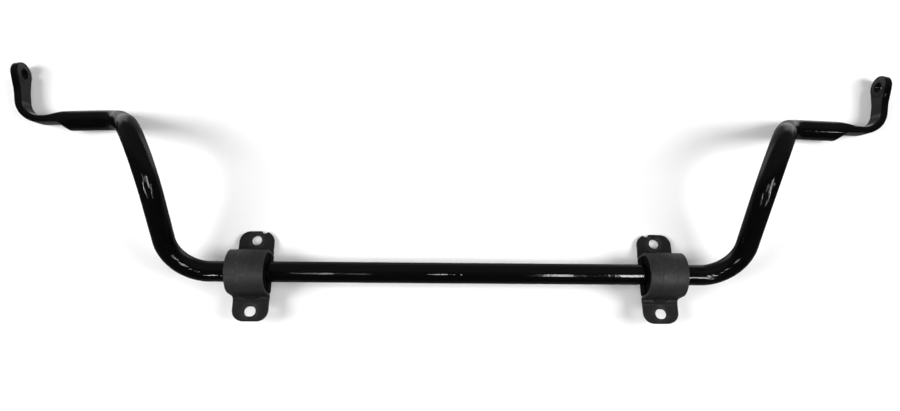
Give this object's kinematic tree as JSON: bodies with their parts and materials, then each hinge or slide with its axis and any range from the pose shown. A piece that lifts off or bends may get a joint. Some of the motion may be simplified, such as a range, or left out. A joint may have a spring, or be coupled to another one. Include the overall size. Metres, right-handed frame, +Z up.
{
  "type": "sway bar",
  "caption": "Front anti-roll bar of round steel with forged flat link eyes, carried in rubber bushings inside saddle-shaped clamp straps.",
  "frame": {"origin": "middle of the underside of the bounding box, on the floor the bar lies on", "axes": "+X along the straight section towards the right end, +Y towards the link eyes, +Z up"},
  "size_m": [1.0634, 0.3054, 0.1157],
  "materials": {
    "bar_paint": "gloss black baked enamel",
    "strap_paint": "satin dark grey electrocoat",
    "rubber": "matt black moulded rubber",
    "plate_steel": "satin dark phosphated steel"
  },
  "bodies": {
    "bar": {"bar": "bar_paint"},
    "left_mount": {"left_strap": "strap_paint", "left_upper_rubber": "rubber", "left_lower_rubber": "rubber", "left_base_plate": "plate_steel"},
    "right_mount": {"right_strap": "strap_paint", "right_upper_rubber": "rubber", "right_lower_rubber": "rubber", "right_base_plate": "plate_steel"}
  },
  "joints": [
    {"name": "left_mount_turn", "type": "hinge", "parent": "bar", "child": "left_mount", "pos_m": [-0.2411, -0.09475, 0.03495], "axis": [1, 0, 0], "range_deg": [-30, 30]},
    {"name": "right_mount_turn", "type": "hinge", "parent": "bar", "child": "right_mount", "pos_m": [0.2411, -0.09475, 0.03495], "axis": [1, 0, 0], "range_deg": [-30, 30]}
  ]
}
